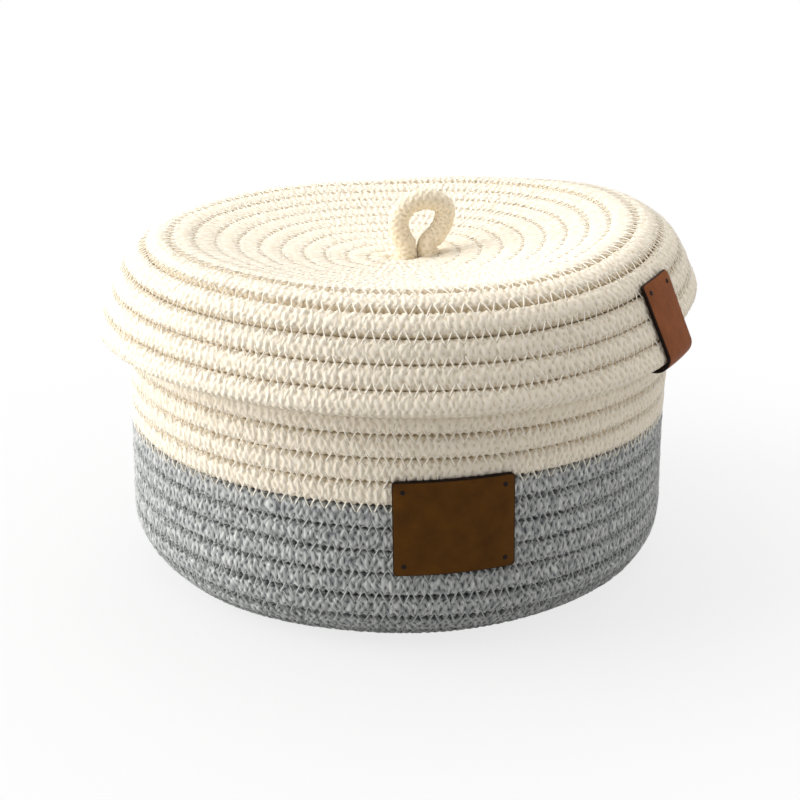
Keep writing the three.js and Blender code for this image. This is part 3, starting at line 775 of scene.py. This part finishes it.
def finish_ropes(coil, names, cuts, *looks, **steps):
    """Makes the lengths of a coil's rope from each cut to the next, and finishes them alike."""
    for name, start, end in zip(names, cuts, cuts[1:]):
        finish_piece(rope_piece(name, coil, start, end, **steps), *looks)


def finish_knots(part, body, bend, thickness, places):
    """Makes a numbered knot of dark thread at each place of a strap, given across it and along it."""
    for number, (x, y) in enumerate(places, 1):
        here, above = (bend(np.float64(x), np.float64(y), thickness + rise) for rise in (0, 1))
        knot = knot_piece(f"{part}_knot_{number}", here, above - here)
        finish_piece(knot, dark_thread, body, "dark_thread", f"{part}_stitch_{number}")


# Basket

floor_turns = floor_reach / PITCH
grey_look = grey_cotton, "basket", "grey_cotton", "grey_rope"
cream_look = cream_cotton, "basket", "cream_cotton", "cream_rope"
# The floor is seen only from below and through the open top, so its cover has wider steps.
finish_ropes(
    basket_coil, ["grey_rope_floor"], [basket_coil.first, floor_turns], *grey_look,
    ring_step=STITCH_LENGTH / 2.5, fine_step=19.4, inner_step=17,
)
finish_ropes(
    basket_coil, ["grey_rope_corner", "grey_rope_lower", "grey_rope_upper"],
    np.linspace(floor_turns, join_turns, 4), *grey_look,
)
finish_ropes(
    basket_coil, ["cream_rope_lower", "cream_rope_upper"],
    np.linspace(join_turns, rim_turns, 3), *cream_look,
)
for face, side in ((1, "outer"), (-1, "inner")):
    grey_seam = seam_piece(f"grey_seam_{side}", basket_coil, basket_coil.first, join_turns - 1, face)
    finish_piece(grey_seam, grey_thread, "basket", "grey_cotton")
    cream_seam = seam_piece(f"cream_seam_{side}", basket_coil, join_turns - 1, rim_turns - 1, face)
    finish_piece(cream_seam, cream_thread, "basket", "cream_cotton")

patch = strap_piece("leather_patch", PATCH_WIDTH, PATCH_HEIGHT, PATCH_THICKNESS, bend_patch, 40)
finish_piece(patch, patch_leather, "basket", "patch_leather", "front_patch")
hole_x = PATCH_WIDTH / 2 - PATCH_HOLE_INSET
low_y, high_y = PATCH_HEIGHT - PATCH_HOLE_INSET, PATCH_HOLE_INSET
finish_knots(
    "patch", "basket", bend_patch, PATCH_THICKNESS,
    [(-hole_x, low_y), (-hole_x, high_y), (hole_x, low_y), (hole_x, high_y)],
)

# Lid

lid_start = LID_START_RADIUS / PITCH
lid_look = cream_cotton, "lid", "cream_cotton"
finish_ropes(
    lid_coil, ["lid_rope_crown", "lid_rope_shoulder", "lid_rope_skirt"],
    [lid_start, *LID_CUTS, lid_coil.last], *lid_look, "lid_rope",
)
finish_ropes(lid_coil, ["loop_foot_coil"], [lid_coil.first, lid_start], *lid_look, "loop_foot")
finish_piece(foot_core(), *lid_look, "loop_foot")
for face, side in ((1, "outer"), (-1, "inner")):
    lid_seam = seam_piece(f"lid_seam_{side}", lid_coil, lid_coil.first + 0.3, lid_coil.last - 1, face)
    finish_piece(lid_seam, cream_thread, "lid", "cream_cotton")

tag = strap_piece("leather_tag", TAG_WIDTH, tag_length[-1], TAG_THICKNESS, bend_tag, 110)
finish_piece(tag, tag_leather, "lid", "tag_leather", "tag")
hole_x = TAG_WIDTH / 2 - TAG_HOLE_INSET
finish_knots("tag", "lid", bend_tag, TAG_THICKNESS, [(-hole_x, TAG_HOLE_INSET), (hole_x, TAG_HOLE_INSET)])


# Pull loop


def loop_path(count):
    """The loop's centre line: a teardrop through chosen points, smoothed by cubic curves, with both legs
    carried straight down into the coil. Returns its points, the way through the loop, and distances."""
    leg = LOOP_RADIUS + LEG_GAP / 2
    bulge = LOOP_WIDTH / 2 - LOOP_RADIUS
    span = LOOP_HEIGHT - LOOP_GAP - 2 * LOOP_RADIUS
    right = [
        (leg, -LEG_DEPTH), (leg, 0), (leg + 0.58 * (bulge - leg), 0.21 * span), (bulge, 0.53 * span),
        (0.82 * bulge, 0.84 * span),
    ]
    knots = np.array([(-x, z) for x, z in right] + [(0, span)] + right[::-1])
    chord = np.concatenate([[0], np.cumsum(np.sqrt(np.hypot(*np.diff(knots, axis=0).T)))])
    slopes = np.gradient(knots, chord, axis=0)
    where = np.linspace(0, chord[-1], count * 4)
    near = np.clip(np.searchsorted(chord, where, side="right") - 1, 0, len(chord) - 2)
    step = (chord[near + 1] - chord[near])[:, None]
    share = (where[:, None] - chord[near][:, None]) / step
    line = (
        (2 * share**3 - 3 * share**2 + 1) * knots[near]
        + (share**3 - 2 * share**2 + share) * step * slopes[near]
        + (3 * share**2 - 2 * share**3) * knots[near + 1]
        + (share**3 - share**2) * step * slopes[near + 1]
    )
    line[:, 0] += LOOP_LEAN * np.maximum(line[:, 1], 0)
    length = np.concatenate([[0], np.cumsum(np.hypot(*np.diff(line, axis=0).T))])
    even = np.linspace(0, length[-1], count)
    plane = np.stack([np.interp(even, length, line[:, k]) for k in (0, 1)], axis=-1)
    yaw = LOOP_YAW * DEGREE
    wide, deep = np.array([math.cos(yaw), math.sin(yaw), 0]), np.array([-math.sin(yaw), math.cos(yaw), 0])
    points = (LOOP_SHIFT + plane[:, :1]) * wide + (plane[:, 1:] + leg_height) * np.array([0, 0, 1])
    return points, deep, even


def loop_piece():
    """The pull loop: the knit rope as a round tube along its path, raised by the cover."""
    points, deep, length = loop_path(340)
    ahead = np.gradient(points, axis=0)
    ahead /= np.linalg.norm(ahead, axis=1, keepdims=True)
    wide = np.cross(deep, ahead)
    angle = np.arange(32) / 32 * CIRCLE
    height, place = knit(length[:, None], angle[None, :])
    radius = (LOOP_RADIUS + STITCH_RELIEF * (height - COVER_LEVEL))[..., None]
    turn = angle[None, :, None]
    ring = np.cos(turn) * wide[:, None, :] + np.sin(turn) * deep[None, None, :]
    grid = points[:, None, :] + radius * ring
    return tube_mesh("pull_loop_rope", grid, {"sunk": 0 * height, "place": place})


leg_height = crown_middle + ROPE_FACE + LOOP_GAP + LOOP_RADIUS
loop = loop_piece()
loop.data.materials.append(shaded_loop_cotton)
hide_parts("pull_loop")
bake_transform(loop)

# Studio: sizes and places are in metres

WORLD_FRONT = 0.18  # strength of the world's light
WORLD_BACK = 0.8
FLOOR_REACH = 3
FLOOR_GLOW = 0.78  # of the floor near the basket, as the camera sees it; the rest of it is the lit paper
SHADOW_START = 0.1
SHADOW_END = 0.26
CAMERA_DISTANCE = 0.525
CAMERA_ELEVATION = 19.4
CAMERA_ROLL = -0.26
CAMERA_AIM_HEIGHT = 0.0478
LAMP_AIM_HEIGHT = 0.05
SENSOR_WIDTH = 36
FOCAL_PIXELS = 1594
PICTURE_PIXELS = 800


def white_ray(tree):
    """1 for what the camera sees directly, in a gloss or through glass, and 0 for light on the object."""
    ray = add(tree, "LightPath").outputs
    seen = add(tree, "Math", {0: ray["Is Camera Ray"], 1: ray["Is Glossy Ray"]}, operation="MAXIMUM")
    return add(tree, "Math", {0: seen, 1: ray["Is Transmission Ray"]}, operation="MAXIMUM")


def light_world():
    """White light from all round that grows from the front to the back, before a plain white ground."""
    world = bpy.data.worlds.new("studio")
    bpy.context.scene.world = world
    world.use_nodes = True
    tree = world.node_tree
    way = add(tree, "TexCoord")
    parts = add(tree, "SeparateXYZ", {0: way.outputs["Generated"]})
    dim = add(
        tree, "MapRange", {"Value": parts.outputs["Y"]},
        {"From Min": -1, "From Max": 1, "To Min": WORLD_FRONT, "To Max": WORLD_BACK},
    )
    level = add(tree, "Math", {0: white_ray(tree), 1: dim}, operation="MAXIMUM")
    background = tree.nodes["Background"]
    background.inputs["Color"].default_value = (1, 1, 1, 1)
    tree.links.new(level.outputs[0], background.inputs["Strength"])


def white_paper():
    """Matt white studio paper. It glows for the camera, fully so beyond the shadow, and so meets the ground
    behind it without an edge and keeps the object's shadow."""
    paper, tree, shader = new_material("white_paper")
    shader.inputs["Base Color"].default_value = srgb("#CFCFCF")
    shader.inputs["Roughness"].default_value = 1
    where = add(tree, "TexCoord")
    distance = add(tree, "VectorMath", {0: where.outputs["Object"]}, operation="LENGTH")
    far = add(
        tree, "MapRange", {"Value": distance.outputs["Value"]},
        {"From Min": SHADOW_START, "From Max": SHADOW_END, "To Min": FLOOR_GLOW, "To Max": 1},
        interpolation_type="SMOOTHSTEP",
    )
    white = add(tree, "Math", {0: far, 1: white_ray(tree)}, operation="MULTIPLY")
    glow = add(tree, "Emission", None, {"Color": (1, 1, 1, 1), "Strength": 1})
    mixed = add(tree, "MixShader", {0: white, 1: shader, 2: glow})
    tree.links.new(mixed.outputs[0], tree.nodes["Material Output"].inputs["Surface"])
    return paper


def soft_light(name, place, size, watts):
    """A square lamp that looks at the middle of the basket."""
    data = bpy.data.lights.new(name, "AREA")
    data.size, data.energy = size, watts
    lamp = bpy.data.objects.new(name, data)
    bpy.context.scene.collection.objects.link(lamp)
    lamp.location = place
    aim = np.array([0, 0, LAMP_AIM_HEIGHT]) - np.array(place)
    down = math.acos(-aim[2] / np.linalg.norm(aim))
    lamp.rotation_euler = (down, 0, math.atan2(aim[1], aim[0]) - math.pi / 2)


light_world()
corners = np.array([(-1, -1, 0), (1, -1, 0), (1, 1, 0), (-1, 1, 0)]) * FLOOR_REACH / METRE
floor = make_mesh("floor", corners, np.array([[0, 1, 2, 3]]))
floor.data.materials.append(white_paper())

# A large lamp on the left models the rows, one above lifts the lid, and a weak one fills the right.
soft_light("key", (-1, -0.1, 0.52), 0.9, 14)
soft_light("top", (-0.1, 0.3, 1.2), 1.1, 7)
soft_light("fill", (1, -0.1, 0.4), 0.8, 2)

camera_data = bpy.data.cameras.new("camera")
camera_data.sensor_width = SENSOR_WIDTH
camera_data.lens = SENSOR_WIDTH * FOCAL_PIXELS / PICTURE_PIXELS
camera_data.clip_start = 0.01
camera = bpy.data.objects.new("camera", camera_data)
bpy.context.scene.collection.objects.link(camera)
elevation = CAMERA_ELEVATION * DEGREE
camera_height = CAMERA_AIM_HEIGHT + CAMERA_DISTANCE * math.sin(elevation)
camera.location = (0, -CAMERA_DISTANCE * math.cos(elevation), camera_height)
camera.rotation_euler = (math.pi / 2 - elevation, CAMERA_ROLL * DEGREE, 0)
bpy.context.scene.camera = camera
bpy.context.scene.view_settings.view_transform = "Standard"
